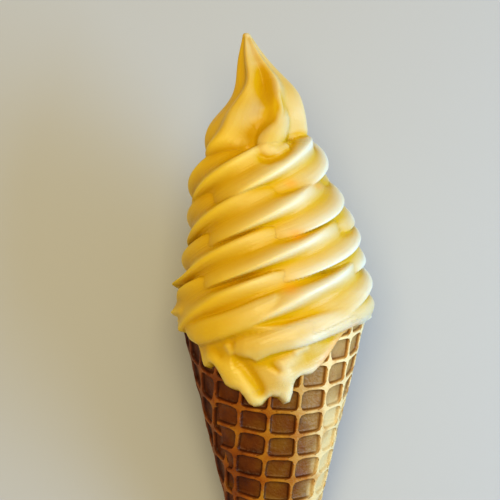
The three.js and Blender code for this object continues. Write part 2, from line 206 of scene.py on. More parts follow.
def finish_piece(piece, material, node):
    """Gives a piece its material and smooth shading, hides the part's solid that it stands for, and puts it
    under the root body.
    """
    piece.data.materials.clear()
    piece.data.materials.append(material)
    bpy.ops.object.select_all(action="DESELECT")
    piece.select_set(True)
    bpy.context.view_layer.objects.active = piece
    bpy.ops.object.shade_smooth()
    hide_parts(node)
    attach(piece, "root")


def add_node(tree, kind, settings=(), links=(), stops=()):
    """One shader node, with its settings by name, its inputs linked or set by socket, and a ramp's
    stops as (position, hex colour).
    """
    node = tree.nodes.new("ShaderNode" + kind)
    for key, value in dict(settings).items():
        setattr(node, key, value)
    for socket, value in dict(links).items():
        if isinstance(value, bpy.types.NodeSocket):
            tree.links.new(value, node.inputs[socket])
        else:
            node.inputs[socket].default_value = value
    if stops:
        marks = node.color_ramp.elements
        while len(marks) < len(stops):
            marks.new(0.5)
        for mark, (position, code) in zip(marks, stops):
            mark.position = position
            mark.color = colour(code)
    return node


def new_material(name, look, values=()):
    """A material of one shader with its look by socket, and the numbers that vertices keep for it."""
    material = bpy.data.materials.new(name)
    material.use_nodes = True
    tree = material.node_tree
    tree.nodes.clear()
    shader = add_node(tree, "BsdfPrincipled", links=look)
    output = add_node(tree, "OutputMaterial")
    tree.links.new(shader.outputs[0], output.inputs["Surface"])
    kept = {}
    for value in values:
        kept[value] = add_node(tree, "Attribute", {"attribute_name": value}).outputs["Fac"]
    return material, tree, shader, kept


# ---- materials

COLOURS = {"data_type": "RGBA"}  # a Mix node's sockets share names, so its colours are 6, 7 and out 2
MULTIPLY_ADD = {"operation": "MULTIPLY_ADD"}

CREAM_LOOK = {
    "Subsurface Weight": 0.3,
    "Subsurface Radius": (0.9, 0.7, 0.3),
    "Subsurface Scale": 3.5 * MM,
    "IOR": 1.36,
    "Specular IOR Level": 0.6,
}
CREAM_VALUES = ("fold", "painted_light", "melted_glow", "melt", "around_u", "around_v", "along")
COMBING = (9.0, 9.0, 7.0)  # lines across the rope's radius, and pieces of line a turn
TINE_RELIEF = 0.5 * MM
ICE_GRAIN = 1.3 * MM
ICE_RELIEF = 0.3 * MM
PATCHES = 22 * MM  # the cream's warmer and wetter patches
PATCH_WARMTH = 0.3  # added to how far a place is in a fold
FOLD_SHADE_RANGE = (0.1, 0.95)  # over this the colour goes from the crests' to the folds' painted shade
WET_RANGE = (0.35, 0.65)
CREAM_ROUGHNESS = (0.45, 0.3)  # dry and wet
RUN_GLOSS = -0.15  # change of roughness where the cream has run down


def soft_serve_material(settings):
    """Custard soft serve: milk fat with air whipped in, just starting to melt.

    Light goes a little way in and comes out warmer. The folds' deeper yellow is painted shade, the right
    side's paler colour is painted light, and thin, clear spots carry a painted glow of light shining through
    them. The skin is satin with wet patches. Fine lines run along the rope, where the nozzle's teeth combed
    it.
    Real ice crystals are under 0.1 mm, too fine to draw, so their grain is drawn at 1.3 mm.
    """
    material, tree, shader, kept = new_material("custard_soft_serve", CREAM_LOOK, CREAM_VALUES)
    place = add_node(tree, "TexCoord").outputs["Object"]
    links = {"Vector": place, "Scale": 1 / PATCHES, "Detail": 2.0}
    patches = add_node(tree, "TexNoise", links=links).outputs["Fac"]
    links = {0: patches, 1: PATCH_WARMTH, 2: kept["fold"]}
    fold_shade_and_warmth = add_node(tree, "Math", MULTIPLY_ADD, links).outputs[0]
    links = {"Value": fold_shade_and_warmth, "From Min": FOLD_SHADE_RANGE[0], "From Max": FOLD_SHADE_RANGE[1]}
    fold_shade = add_node(tree, "MapRange", links=links).outputs["Result"]
    layers = (
        (kept["painted_light"], settings.painted_light_colour),
        (fold_shade, settings.fold_shade_colour),
        (kept["melted_glow"], settings.melted_glow_colour),
    )
    base = colour(settings.crest_colour)
    for share, code in layers:
        links = {0: share, 6: base, 7: colour(code)}
        base = add_node(tree, "Mix", COLOURS, links).outputs[2]
    tree.links.new(base, shader.inputs["Base Color"])
    links = {"Value": patches, "From Min": WET_RANGE[0], "From Max": WET_RANGE[1]}
    links |= {"To Min": CREAM_ROUGHNESS[0], "To Max": CREAM_ROUGHNESS[1]}
    wet = add_node(tree, "MapRange", links=links).outputs["Result"]
    links = {0: kept["melt"], 1: RUN_GLOSS, 2: wet}
    wetter = add_node(tree, "Math", MULTIPLY_ADD, links).outputs[0]
    tree.links.new(wetter, shader.inputs["Roughness"])
    links = {0: kept["around_u"], 1: kept["around_v"], 2: kept["along"]}
    rope = add_node(tree, "CombineXYZ", links=links).outputs[0]
    links = {"Vector": rope, "Scale": COMBING}
    combed = add_node(tree, "Mapping", {"vector_type": "POINT"}, links).outputs[0]
    links = {"Vector": combed, "Scale": 1.0, "Detail": 2.0}
    lines = add_node(tree, "TexNoise", links=links).outputs["Fac"]
    links = {"Strength": 0.5, "Distance": TINE_RELIEF, "Height": lines}
    tines = add_node(tree, "Bump", links=links).outputs["Normal"]
    links = {"Vector": place, "Scale": 1 / ICE_GRAIN, "Detail": 3.0}
    ice = add_node(tree, "TexNoise", links=links).outputs["Fac"]
    links = {"Strength": 0.3, "Distance": ICE_RELIEF, "Height": ice, "Normal": tines}
    grain = add_node(tree, "Bump", links=links).outputs["Normal"]
    tree.links.new(grain, shader.inputs["Normal"])
    return material


WAFER_LOOK = {"Roughness": 0.42, "IOR": 1.4, "Specular IOR Level": 0.5}

# Colours by how far up a rib's side a place is, from the cell's floor at 0 to the rib's top at 1.
# The darker stops between them are painted shade on the cell walls, darkest in the corners
CELL_FLOOR = 0.04
SHADED_WALLS = [(0.3, "#4A2803"), (0.7, "#744608")]
# Painted light and shade: the stops for the side painted paler as lit by the window, with painted shade on
# the walls
LIT_SIDE_SHADED_WALLS = [(CELL_FLOOR, "#AE8A52"), (0.3, "#7A521C"), (0.7, "#BC8C4C")]
LIT_SIDE_ACROSS = (2 * MM, 26 * MM)  # from the darker side to the one painted paler as lit by the window
# Painted glare: the window's near-white reflection on the wafer
GLARE_COLOUR = "#E2CC9A"
TOASTING = [(0.2, "#AC7C38"), (0.4, "#E0B878"), (0.62, "#FFFFFF")]  # it multiplies those
TOAST_PATCHES = 9 * MM
TOAST_LIT_SIDE = 0.2 / (25 * MM)  # painted light: the toasting is lighter towards the right, where the window's light falls
PORES = 1.2 * MM
PORE_RELIEF = 0.5 * MM


def baked_wafer_material(settings):
    """Baked sugar batter: browned cells and ribs, with painted shade that is darkest in the corners between
    them.

    The right side is painted paler as lit by the window, with painted glare low on it, and the toasting
    lightens towards the right as painted light too. Real pores are 0.2 to 0.5 mm, too fine to draw, so they
    are drawn at 1.2 mm.
    """
    material, tree, shader, kept = new_material("baked_wafer", WAFER_LOOK, ("relief", "painted_glare"))
    place = add_node(tree, "TexCoord").outputs["Object"]
    links = {"Fac": kept["relief"]}
    stops = [(CELL_FLOOR, settings.cell_colour), *SHADED_WALLS, (1.0, settings.rib_colour)]
    base = add_node(tree, "ValToRGB", links=links, stops=stops).outputs["Color"]
    stops = [*LIT_SIDE_SHADED_WALLS, (1.0, settings.lit_rib_colour)]
    lit_side_ramp = add_node(tree, "ValToRGB", links=links, stops=stops).outputs["Color"]
    # Painted light: paler towards the right, where the window's light falls
    across = add_node(tree, "SeparateXYZ", links={0: place}).outputs["X"]
    links = {"Value": across, "From Min": LIT_SIDE_ACROSS[0], "From Max": LIT_SIDE_ACROSS[1]}
    side = add_node(tree, "MapRange", {"interpolation_type": "SMOOTHSTEP"}, links)
    for share, over in ((side.outputs["Result"], lit_side_ramp), (kept["painted_glare"], colour(GLARE_COLOUR))):
        base = add_node(tree, "Mix", COLOURS, {0: share, 6: base, 7: over}).outputs[2]
    links = {"Vector": place, "Scale": 1 / TOAST_PATCHES, "Detail": 5.0}
    patches = add_node(tree, "TexNoise", links=links).outputs["Fac"]
    links = {0: across, 1: TOAST_LIT_SIDE, 2: patches}
    lit_toast = add_node(tree, "Math", MULTIPLY_ADD, links).outputs[0]
    toast = add_node(tree, "ValToRGB", links={"Fac": lit_toast}, stops=TOASTING).outputs["Color"]
    kind = COLOURS | {"blend_type": "MULTIPLY"}
    toasted = add_node(tree, "Mix", kind, {0: 1.0, 6: base, 7: toast}).outputs[2]
    tree.links.new(toasted, shader.inputs["Base Color"])
    links = {"Vector": place, "Scale": 1 / PORES, "Detail": 4.0}
    pores = add_node(tree, "TexNoise", links=links).outputs["Fac"]
    links = {"Strength": 0.8, "Distance": PORE_RELIEF, "Height": pores}
    grain = add_node(tree, "Bump", links=links).outputs["Normal"]
    tree.links.new(grain, shader.inputs["Normal"])
    return material


def floor_material(settings):
    """Matt painted board, so fine that it shows no grain."""
    look = {"Base Color": colour(settings.floor_colour), "Roughness": 0.8, "Specular IOR Level": 0.1}
    return new_material("painted_board", look)[0]


# ---- the wafer's sheet, flat and rolled

SHEET_OVERLAP = radians(3)  # of the flat sheet, under its outer edge
SHEET_START = 15 * MM  # from the cone's point, along the sheet
CELLS_START = 22 * MM  # from the cone's point too
CELL_EDGE = radians(20)  # edges sharper than this are rounded
CELL_ROUND = 0.3 * MM
SMOOTH_UP_TO = radians(50)  # sharper edges show as edges
EDGE_LIFT = 1.1 * MM  # the sheet's outer edge stands off a little more half way down
EDGE_LIFT_ALONG = 106 * MM
EDGE_LIFT_LENGTH = 11 * MM
EDGE_LIFT_TURN = 0.035
INNER_TURNS = (0.985, 1.005)  # here the sheet goes in under its outer edge
INNER_DROP = 1.5 * MM
WAVER_LENGTH = 13 * MM  # the ribs waver over about this far
WAVER_ACROSS = 0.7 * MM
WAVER_ALONG = 0.6 * MM
WAVER_SHIFT = (7, 3, 0)  # between the noise of the one and of the other
WARP_LENGTH = 3.5 * MM  # the faces are uneven over about this far
WARP = 0.28 * MM
NOSE_BOTTOM = 11 * MM  # above where the cone's sides would meet
NOSE_HALF_LENGTH = 4.6 * MM
NOSE_RADIUS = 3.4 * MM

# Painted glare: a strip low on the right is painted palest, as the window's reflection there.
GLARE_SHARE = 0.8
GLARE_SIDES = (38, 50, 95, 115)  # degrees from the front
GLARE_HEIGHTS = (-22 * MM, -36 * MM)


def cone_slope(cone):
    return atan(cone.rim_radius / cone.depth)


def cone_radius(cone, height):
    return cone.rim_radius + height * tan(cone_slope(cone))


def flat_place(cone, angle, height):
    """Where a point of the cone's face lies in the flat sheet, whose origin is the cone's point."""
    along = (cone.depth + height) / cos(cone_slope(cone))
    turned = (angle - cone.grid_facing) * sin(cone_slope(cone))
    return np.stack([along * np.sin(turned), along * np.cos(turned)], axis=-1)


def sheet_lift(cone, turned):
    """How far the rolled sheet's face stands outside the plain cone, by share of a turn from its edge."""
    return cone.seam_step * (1 - turned)


def roll(cone, flat):
    """Rolls points of the flat sheet, with z above its outer face, into the upright cone."""
    slope = cone_slope(cone)
    along = np.hypot(flat[:, 0], flat[:, 1])
    angle = cone.grid_facing + np.arctan2(flat[:, 0], flat[:, 1]) / sin(slope)
    turned = (angle - cone.seam_at) / (2 * pi)
    lift = flat[:, 2] + sheet_lift(cone, turned) - INNER_DROP * smooth_step(*INNER_TURNS, turned)
    lift += EDGE_LIFT * hump(turned, 0, EDGE_LIFT_TURN) * hump(along, EDGE_LIFT_ALONG, EDGE_LIFT_LENGTH)
    radius = along * sin(slope) + lift * cos(slope)
    height = -cone.depth + along * cos(slope) - lift * sin(slope)
    return np.stack([radius * np.sin(angle), height, radius * np.cos(angle)], axis=-1)


# ---- the swirl's surface

# Rope.
CREST_ROUND = 0.21  # 0 is a knife edge
DRAPE = 0.083  # each turn hangs outwards over the one below
NARROWING = 1.4 * MM  # a turn
NARROWING_GROWTH = 0.48 * MM
UPRIGHT_TURNS = (3.95, 4.2)  # over these, most of the slant of a turn's face is lost
UPRIGHT_SHARE = 0.6
UNDERCUT = 2.5  # slope of a turn's face where it runs in under the next
ROPE_TOP = 8.8 * MM  # above its middle the rope turns in sharply
ROPE_TOP_SLOPE = 4
LAST_TOP = 2 * MM  # that starts so much higher on the last turn
LAST_TOP_TURNS = (4.15, 4.25)
SIDE_ROUNDS = 9  # steps that find how far out the rope's side is
SIDE_KEPT = 0.35  # share of the last step kept in each
START_TURN = 0.03  # before the front the rope's start comes out from inside, along a parabola
START_INSET = 0.65  # mm, at START_TURN

# Coil.
FIRST_TURN = -0.12  # turns are counted from the front of the rim
LAST_TURN = 4.5
MELT = 0.35 * MM
SAG = 1.31  # the lowest turn has stretched down this much under the others
SAG_FROM = 12 * MM
DRIFT = -6.4 * MM  # the upper turns lean over to the left
DRIFT_HEIGHTS = (28 * MM, 66 * MM)
RECOVERY = 3.9 * MM  # the tip bends back, and then further
RECOVERY_HEIGHT = 88 * MM
RECOVERY_LENGTH = 10 * MM
BEND = -3.6 * MM
BEND_POWER = 1.6

# Tip: the end of the rope, drawn up to a point.
TIP_RADIUS = 20.5 * MM
TIP_HEIGHT = 66 * MM  # it starts to narrow here
TIP_TAPER = 1.25  # of its radius, were it not rounded off at TIP_HEIGHT
TIP_POWER = 1.04
TIP_ROUND = 0.2
TIP_STOUT = 1.2 * MM  # thicker by this at its end
TIP_STOUT_POWER = 4
TIP_END = 1.8 * MM  # it is this round
TIP_GROOVE = 0.22
TIP_CREST_ROUND = 0.42
TIP_CREST = radians(-26)
TIP_CURL = radians(25)  # the crests turn back towards the foot
CURL_FROM = 86 * MM
TIP_BACK_TURN = radians(17)  # and so they do where the tip bends back
BACK_TURN_HEIGHT = 84 * MM
BACK_TURN_LENGTH = 8 * MM
TIP_TURN = 5  # the tip counts as this turn of the rope
FOOT_TURN = 4  # it grows from this one
FOOT_RISE = 0.55  # of the coil's pitch, above that one's middle
FOOT_DROP_SIDES = (radians(120), radians(180))
FOOT_ROUND = 5 * MM
FOOT_SHARE = 0.2  # of the radius, rounded off there
FOOT_SLOPE = 3

# The foot of the tip has slumped at the left.
SLUMP_SIDES = np.radians((-95, -60, -16, 4))
SLUMP_DROP = 3.2 * MM
SLUMP_PROUD = 2.3 * MM
SLUMP_HEIGHT = 66.5 * MM
SLUMP_LENGTH = 5 * MM


def groove(phase, crest_round):
    """0 on a crest of the rope and 1 at the bottom of the groove beside it."""
    wave = np.hypot(np.sin(phase / 2), crest_round)
    return (wave - crest_round) / (np.hypot(1, crest_round) - crest_round)


# The rope was laid by hand, so it rises, narrows and twists unevenly: turns from the front of the rim,
# its twist in degrees, its middle above the rim in mm, and its reach from the axis in mm.
LAID = (
    (-1.2, -368, -21.7, 39.1), (-0.2, -68, -7.0, 39.1), (0.2, 49, -1.6, 40.6), (0.8, 236, 7.7, 37.6),
    (1.2, 387, 14.3, 39.2), (1.8, 598, 23.8, 35.4), (2.2, 759, 30.5, 36.0), (2.8, 960, 39.3, 32.0),
    (3.2, 1117, 46.0, 32.5), (3.8, 1374, 54.1, 27.4), (4.2, 1526, 60.3, 28.4), (5.2, 1946, 76.0, 24.0),
)  # fmt: skip


def coil_reach(turn):
    inside = START_INSET * (np.maximum(-turn, 0) / START_TURN) ** 2
    return (read_off(LAID, turn, 3) - inside) * MM


def lean(cream, height):
    """How far the swirl's middle is to the right of the cone's axis."""
    drift = DRIFT * smooth_step(*DRIFT_HEIGHTS, height)
    recovery = RECOVERY * hump(height, RECOVERY_HEIGHT, RECOVERY_LENGTH)
    bend = BEND * np.clip((height - CURL_FROM) / (cream.height - CURL_FROM), 0, 1) ** BEND_POWER
    return drift + recovery + bend


def twist(cream, turn):
    """The rope's own twist, which is about a turn for each turn laid."""
    return cream.twist_start + np.radians(read_off(LAID, turn, 1))


def turn_middle(turn):
    return read_off(LAID, turn, 2) * MM


def turn_radius(cream, height, turn):
    """Outer radius of one turn of the rope, and its phase: crests lie at whole turns of the phase."""
    up = height - turn_middle(turn)
    slant = (NARROWING + 2 * NARROWING_GROWTH * np.maximum(turn, 0)) / cream.coil_pitch + DRAPE
    slant *= 1 - UPRIGHT_SHARE * smooth_step(*UPRIGHT_TURNS, turn)
    out = np.sqrt(np.maximum(cream.rope_radius**2 - up**2, 0))
    for _ in range(SIDE_ROUNDS):
        phase = cream.points * (np.arctan2(up, out) - twist(cream, turn))
        side = cream.rope_radius * (1 - cream.groove_depth * groove(phase, CREST_ROUND))
        out = SIDE_KEPT * out + (1 - SIDE_KEPT) * np.sqrt(np.maximum(side**2 - up**2, 0))
    past = np.maximum(np.abs(up) - side, 0)
    radius = coil_reach(turn) + cream.squash * (out - cream.rope_radius) - slant * up - UNDERCUT * past
    top = ROPE_TOP + LAST_TOP * smooth_step(*LAST_TOP_TURNS, turn)
    return radius - ROPE_TOP_SLOPE * np.maximum(up - top, 0), phase


def tip_foot(cream, angle):
    """The foot of the tip climbs with the coil and comes down over the rope's end at the back."""
    turn = FOOT_TURN + angle / (2 * pi)
    drop = cream.coil_pitch * smooth_step(*FOOT_DROP_SIDES, angle)
    return turn_middle(turn) + FOOT_RISE * cream.coil_pitch - drop


def tip_radius(cream, angle, height):
    slump = band(*SLUMP_SIDES, angle)
    foot = tip_foot(cream, angle) - SLUMP_DROP * slump
    rise = np.clip((height - TIP_HEIGHT) / (cream.height - TIP_HEIGHT), 0, 1)
    taper = -TIP_RADIUS * smooth_max(-1, -TIP_TAPER * (1 - rise) ** TIP_POWER, TIP_ROUND)
    taper += TIP_STOUT * rise**TIP_STOUT_POWER
    curl = TIP_CURL * (np.maximum(CURL_FROM - height, 0) / (CURL_FROM - TIP_HEIGHT)) ** 2
    curl += TIP_BACK_TURN * hump(height, BACK_TURN_HEIGHT, BACK_TURN_LENGTH)
    phase = cream.points * (angle - (TIP_CREST - curl))
    under = np.clip((foot + FOOT_ROUND - height) / FOOT_ROUND, 0, 1)
    radius = taper * (1 - TIP_GROOVE * groove(phase, TIP_CREST_ROUND))
    radius *= 1 - FOOT_SHARE + FOOT_SHARE * np.sqrt(1 - under**2)
    radius += SLUMP_PROUD * slump * hump(height, SLUMP_HEIGHT, SLUMP_LENGTH)
    end = np.sqrt(np.maximum(TIP_END**2 - (height - cream.height + TIP_END) ** 2, 0))
    radius = np.where(height > cream.height - TIP_END, end, np.maximum(radius, end))
    return radius - FOOT_SLOPE * np.maximum(foot - height, 0), phase


def swirl_radius(cream, angle, height):
    """Outer radius of the whole swirl, with the phase and the turn of the rope that shows there."""
    height = np.where(height < SAG_FROM, SAG_FROM - (SAG_FROM - height) / SAG, height)
    radius, phase = tip_radius(cream, angle, height)
    shown_turn = TIP_TURN + angle / (2 * pi)
    for lap in range(int(FIRST_TURN) - 1, int(LAST_TURN) + 2):
        turn = lap + angle / (2 * pi)
        reach, its_phase = turn_radius(cream, height, turn)
        reach = np.where((turn > FIRST_TURN) & (turn < LAST_TURN), reach, 0)
        nearer = reach > radius
        phase = np.where(nearer, its_phase, phase)
        shown_turn = np.where(nearer, turn, shown_turn)
        radius = smooth_max(radius, reach, MELT)
    return radius, phase, shown_turn


# ---- cream over the rim

# How far the cream has run down the wafer, as degrees from the front and mm below the rim. It runs
# further down the cells than along the ribs.
LAP_EDGE = (
    (-180, 1.5), (-130, 1.5), (-100, 0.5), (-85, 0.5), (-75, 2), (-65, 5), (-60, 6.8), (-55, 7.6),
    (-53.6, 10.4), (-53.4, 13.4), (-52, 15.9), (-47, 15.3), (-41.5, 13.7), (-38.5, 14.7),
    (-36, 17.5), (-33, 21.7), (-29, 22.8), (-23, 23.3), (-20, 25.5), (-17.5, 28.3), (-14, 29.2),
    (-9, 28.6), (-4, 26), (-1, 25.2), (3.5, 25.6), (8, 27.9), (11.5, 27.3), (13.2, 24), (13.5, 21),
    (14.8, 19.2), (18.1, 17.8), (26.2, 17.1), (33, 13.6), (38, 9.8), (42, 6.2), (46.3, 3.2),
    (52.5, 1.4), (61, -0.4), (110, 0.4), (180, 1.5),
)  # fmt: skip

# Underside of the turns that hang over the cream that has run down, in the same terms.
TURN_EDGE = (
    (-180, 1.5), (-140, 1.5), (-110, 0), (-95, -2.2), (-82, -2), (-75, 1), (-65, 5), (-60, 6.7),
    (-50, 7.7), (-40, 6.8), (-30, 5), (-25.6, 3.3), (-23, 6.5), (-17.4, 9.5), (-10.4, 11.6),
    (-2.2, 9.3), (8.8, 7.1), (26.4, 4.7), (42.3, 2.9), (57.4, -0.9), (75, -2), (110, -2), (150, 0),
    (180, 1.5),
)  # fmt: skip

# The film of cream there: degrees from the front and its thickness in mm.
FILM = (
    (-100, 0.8), (-75, 0.9), (-55, 2.2), (-35, 2.6), (-15, 2.8), (8, 2.5), (20, 1.6), (35, 1.0),
    (60, 0.8),
)  # fmt: skip
FILM_TOP = 0.55  # share of its thickness that it has where it comes out from under the turns
FILM_FULL = 12 * MM  # it is full this far below them
FILM_EDGE = 1.1  # and this far in from its own edge, in thicknesses
FILM_SLOPE = 2.5  # past its edge it drops away into the wafer, over FILM_BEYOND
FILM_BEYOND = 2 * MM
FILM_MELT = 0.9 * MM
CORE_SLOPE = 1.3  # above the rim the film's face runs in under the swirl
FILLING_GAP = 5 * MM  # from the wafer's outer face to the filling

# The lobes that hang over the apron, lowest first: half its thickness in mm, and its course as degrees
# from the front, its middle above the rim in mm and its radius in mm.
HANGING_LOBES = (
    (5.0, (
        (-180, -7, 20), (-30, -7.4, 30), (-26, -7.2, 35.4), (-21, -6.9, 37.6), (-16, -6.6, 38.4),
        (-7, -6, 38.8), (9, -3.2, 39.2), (26, -0.2, 39.4), (43, 2.6, 39.4), (60, 5, 39.3),
        (75, 6, 39.1), (90, 6.3, 39), (110, 6.5, 38), (140, 6.5, 35), (180, 7, 30),
    )),
    (5.2, (
        (-180, 6, 30), (-110, 6, 32), (-85, 4.8, 34.6), (-75, 3.4, 35.4), (-65, 0.2, 36.6),
        (-60, -1.5, 37.2), (-50, -2.5, 38.2), (-40, -1.6, 39), (-30, -0.1, 39.4), (-20, 2.1, 39.2),
        (-10, 4.8, 38.8), (0, 7, 38), (20, 9, 35), (40, 10, 32), (180, 6, 30),
    )),
)  # fmt: skip
LOBE_BULGE = 3.6  # mm from its sides to its middle
LOBE_SLOPE = 3  # past its sides
LOBE_MELT = 0.5 * MM
HANG_SLOPE = 2.6  # below TURN_EDGE the swirl draws in so steeply, after a rounding
HANG_ROUND = 0.8 * MM
SEAM_MARGIN = radians(5)  # the cream already steps up before the sheet's outer edge
SEAM_TURN = 0.03  # and does so over this share of a turn


def edge_height(edge, angle):
    return -read_off(edge, np.degrees(angle)) * MM


def lap_cover(cone, angle, height):
    """Distance on the wafer's face from the edge of the cream, less than 0 where the face is bare."""
    turns, depths = np.array(LAP_EDGE).T
    corners = flat_place(cone, np.radians(turns), -depths * MM)
    place = flat_place(cone, angle, height)
    distance, _ = path_distance(place, corners)
    return np.where(height > edge_height(LAP_EDGE, angle), distance, -distance)


def path_distance(place, corners):
    """Least distance from each place to a path through the corners, and how many corners along that is."""
    best = np.full(place.shape[:-1], np.inf)
    along = np.zeros_like(best)
    for count, (start, stop) in enumerate(zip(corners[:-1], corners[1:])):
        leg = stop - start
        share = np.clip(((place - start) @ leg) / (leg @ leg), 0, 1)
        away = place - start - share[..., None] * leg
        distance = np.hypot(away[..., 0], away[..., 1])
        along = np.where(distance < best, count + share, along)
        best = np.minimum(best, distance)
    return best, along


def hanging_lobe(angle, height, half, course):
    """Outer radius of a lobe, which is low wherever there is none."""
    degrees = np.degrees(angle)
    off = (height / MM - read_off(course, degrees, 1)) / half
    drop = LOBE_BULGE * (1 - np.sqrt(np.clip(1 - off**2, 0, 1)))
    drop += LOBE_SLOPE * half * np.maximum(np.abs(off) - 1, 0)
    return (read_off(course, degrees, 2) - drop) * MM


def film_thickness(angle, height):
    full = smooth_step(0, FILM_FULL, edge_height(TURN_EDGE, angle) - height)
    return read_off(FILM, np.degrees(angle)) * MM * (FILM_TOP + (1 - FILM_TOP) * full)


def cream_radius(cream, cone, angle, height):
    """Outer radius of all the cream, with the phase and the turn of the rope that shows there."""
    swirl, phase, turn = swirl_radius(cream, angle, height)
    hang = np.maximum(edge_height(TURN_EDGE, angle) - height, 0)
    swirl = swirl - HANG_SLOPE * hang * hang / (hang + HANG_ROUND)
    for half, course in HANGING_LOBES:
        swirl = smooth_max(swirl, hanging_lobe(angle, height, half, course), LOBE_MELT)
    turned = (angle - cone.seam_at + SEAM_MARGIN) / (2 * pi) % 1
    face = cone_radius(cone, height) + sheet_lift(cone, turned) * smooth_step(0, SEAM_TURN, turned)
    cover = lap_cover(cone, angle, height)
    thickness = film_thickness(angle, height)
    share = np.clip(cover / (FILM_EDGE * thickness), 0, 1)
    face += thickness * np.sqrt(1 - (1 - share) ** 2) + FILM_SLOPE * np.clip(cover, -FILM_BEYOND, 0)
    below = smooth_max(swirl, face, FILM_MELT)
    core = smooth_max(swirl, face - CORE_SLOPE * height, FILM_MELT)
    radius = np.where(height < 0, np.maximum(below, cone_radius(cone, height) - FILLING_GAP), core)
    return radius, phase, turn


# ---- marks of melting, in front view

# Each is a path of (mm across from the axis, mm above the rim), its width and its rise in mm.
MELT_MARKS = (
    # the groove beside the tip's sharpest crest
    (((-5.4, 99.4), (-4, 91.8), (-1.7, 85.8), (-0.3, 81), (-1.4, 75.9), (-5.2, 71.2), (-10, 67.5)),
     3.7, -2.5),
    # the crease under the hook
    (((-7, 64.1), (-4.1, 61.2), (-1.2, 60.1), (3.3, 61.7), (7, 64.8), (9.7, 68.4)), 1.5, -1.0),
    # the fold where the hook curls back
    (((1.8, 67.3), (5.5, 68.4), (9.2, 68)), 0.8, -0.35),
    # apron: folds of the cream that has run down
    (((-25, -10), (-18.7, -14.4), (-12.9, -21.6), (-7.7, -27.6)), 3.2, 1.1),
    (((-15, -9.8), (-9.9, -15.1), (-5.6, -21.3), (-3.4, -26.9)), 2.2, -1.3),
    (((20.4, -3.3), (9.4, -7.6), (4, -13.8), (2.3, -23.8)), 3.4, 1.1),
    (((-17.2, -5.7), (-14.6, -10.3)), 1.3, 0.9),
    (((-21.6, -7.4), (-18.3, -11.9)), 1.2, -0.5),
    (((12.4, -6.8), (6.4, -9.7)), 1.1, 0.6),
    (((-2.1, -13.3), (2.7, -16.3)), 1.2, -0.6),
)  # fmt: skip

MARK_REACH = 3  # widths, past which a mark is too low to show
MARK_FADE = 2.2  # how fast a mark gains its rise from its ends
MARK_END = 0.15  # share of its rise that it has there

# The hook, where the nozzle was wiped off to the right: mm across, mm above the rim, mm from the axis
# and half its width in mm.
HOOK = (
    (2.2, 85.6, 13.0, 1.4), (3.4, 80, 16.2, 2.2), (3.1, 75.2, 18.8, 2.9), (0.6, 71.2, 20.8, 3.6),
    (-1.6, 68, 22.2, 4.0), (-2.0, 65.4, 23.0, 3.8), (0, 63.8, 23.2, 3.2), (2.6, 64, 22.8, 2.8),
    (5.2, 65.2, 22.0, 2.2),
)  # fmt: skip
HOOK_SLOPE = 2.5  # of its sides, past its width
HOOK_SIDE = 10 * MM  # it runs out into the tip over this far on its right
RUN_OUT_REACH = 3 * HOOK_SIDE
RUN_OUT_BOTTOM = 0.6  # the run-out draws in so steeply below where the hook turns back
RUN_OUT_TOP = 0.35  # and so steeply at its top
RUN_OUT_TOP_LENGTH = 8 * MM
HOOK_MELT = 1.8 * MM


def rounded(path):
    """The path with its corners cut off, twice."""
    for _ in range(2):
        before, after = path[:-1], path[1:]
        inner = np.stack([0.75 * before + 0.25 * after, 0.25 * before + 0.75 * after], axis=1)
        path = np.concatenate([path[:1], inner.reshape(-1, path.shape[1]), path[-1:]])
    return path


def hook(cream, angle, height):
    """Outer radius of the hook, which is 0 wherever there is none."""
    across, level, reach, half = rounded(np.array(HOOK)).T * MM
    turned = np.arcsin((across - lean(cream, level)) / reach)
    middle = reach.mean()
    corners = np.stack([middle * turned, level], axis=-1)
    distance, along = path_distance(np.stack([middle * angle, height], axis=-1), corners)
    steps = np.arange(len(reach))
    width = np.interp(along, steps, half)
    side = np.clip(distance / width, 0, 1)
    surface = np.interp(along, steps, reach) - width * (1 - np.sqrt(1 - side**2))
    surface -= HOOK_SLOPE * np.maximum(distance - width, 0)
    turning = int(np.argmin(across))
    down = slice(turning, None, -1)
    past = middle * (angle - np.interp(height, level[down], turned[down]))
    run_out = np.interp(height, level[down], reach[down]) - 0.5 * past**2 / HOOK_SIDE
    run_out -= RUN_OUT_BOTTOM * np.maximum(level[turning] - height, 0)
    run_out -= RUN_OUT_TOP * np.maximum(height - level[0] + RUN_OUT_TOP_LENGTH, 0)
    beside = (past > 0) & (past < RUN_OUT_REACH) & (height < level[0])
    return np.maximum(np.where(beside, np.maximum(surface, run_out), surface), 0)


# Points that the rope was left with where the nozzle dragged: degrees from the front, mm above the rim,
# half width in degrees, half height in mm, climb in mm a degree, and rise in mm.
DRAGGED_POINTS = (
    (-84, 14.4, 15, 1.9, 0.1, 3.6),
    (-86, 18.6, 16, 1.8, 0.1, -2.6),
    (-88, 3.4, 15, 2.1, 0.1, 4.0),
    (-88, 7.6, 14, 1.8, 0.1, -1.4),
    (80, 7, 12, 2.6, 0.1, 0.5),
)
POINT_ROUND = 0.25  # 0 is a needle


def dragged_points(angle, height):
    rise = np.zeros_like(height)
    for middle, level, spread, reach, climb, peak in DRAGGED_POINTS:
        away = np.degrees(angle) - middle
        off = height / MM - level - climb * away
        rise += peak * MM * np.exp(POINT_ROUND - np.hypot(np.hypot(away / spread, off / reach), POINT_ROUND))
    return rise


